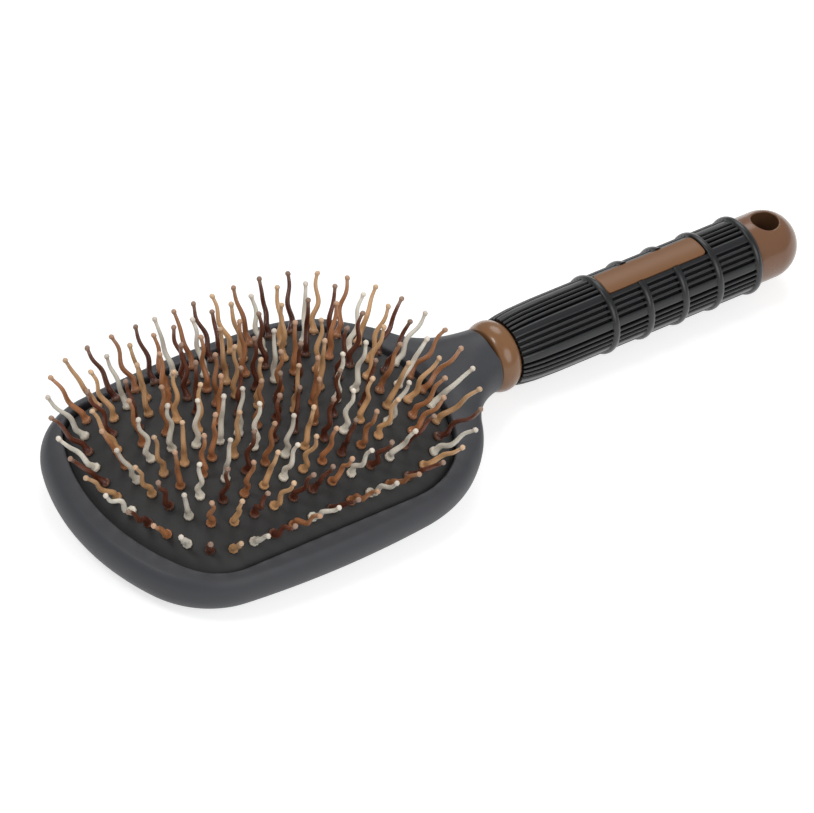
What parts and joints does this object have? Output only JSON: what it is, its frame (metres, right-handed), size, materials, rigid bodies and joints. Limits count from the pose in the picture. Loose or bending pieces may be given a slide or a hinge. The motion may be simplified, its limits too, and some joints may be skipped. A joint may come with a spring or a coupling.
{
  "type": "detangling brush",
  "caption": "Paddle detangling brush: air cushion head with rows of wavy ball-tipped pins in mixed colours, ribbed rubber grip and a domed cap with a hanging hole.",
  "frame": {"origin": "middle of the bounding box's bottom face, on the surface that the back of the head rests on", "axes": "+X from the head's front end to the handle's cap, +Y across the brush, +Z out of the pin side, up from the surface"},
  "size_m": [0.2434, 0.0896, 0.0396],
  "materials": {
    "body_plastic": "satin slate grey",
    "cushion_rubber": "matt near black",
    "grip_rubber": "matt near black",
    "trim_brown": "gloss brown",
    "badge_brown": "satin brown",
    "pin_cream": "gloss cream nylon",
    "pin_tan": "gloss tan nylon",
    "pin_caramel": "gloss caramel nylon",
    "pin_brown": "gloss dark brown nylon"
  },
  "bodies": {
    "handle": {"paddle_body": "body_plastic", "cushion": "cushion_rubber", "collar_ring": "trim_brown", "grip_sleeve": "grip_rubber", "badge_plate": "badge_brown", "end_cap": "trim_brown"},
    "row1": {"pins_row1_cream": "pin_cream", "pins_row1_tan": "pin_tan", "pins_row1_caramel": "pin_caramel", "pins_row1_brown": "pin_brown"},
    "row2": {"pins_row2_cream": "pin_cream", "pins_row2_tan": "pin_tan", "pins_row2_caramel": "pin_caramel", "pins_row2_brown": "pin_brown"},
    "row3": {"pins_row3_cream": "pin_cream", "pins_row3_tan": "pin_tan", "pins_row3_caramel": "pin_caramel", "pins_row3_brown": "pin_brown"},
    "centre": {"pins_centre_cream": "pin_cream", "pins_centre_tan": "pin_tan", "pins_centre_caramel": "pin_caramel", "pins_centre_brown": "pin_brown"}
  },
  "joints": [
    {"name": "cushion_press", "type": "slide", "parent": "handle", "child": "centre", "axis": [0, 0, -1], "range_m": [0, 0.003], "stiffness_N_per_m": 2000, "deforming": ["cushion"]},
    {"name": "row3_press", "type": "slide", "parent": "handle", "child": "row3", "axis": [0, 0, -1], "range_m": [0, 0.003]},
    {"name": "row2_press", "type": "slide", "parent": "handle", "child": "row2", "axis": [0, 0, -1], "range_m": [0, 0.003]},
    {"name": "row1_press", "type": "slide", "parent": "handle", "child": "row1", "axis": [0, 0, -1], "range_m": [0, 0.002]}
  ],
  "couplings": [
    {"joint": "row3_press", "follows": "cushion_press", "ratio": 0.96},
    {"joint": "row2_press", "follows": "cushion_press", "ratio": 0.79},
    {"joint": "row1_press", "follows": "cushion_press", "ratio": 0.32}
  ]
}
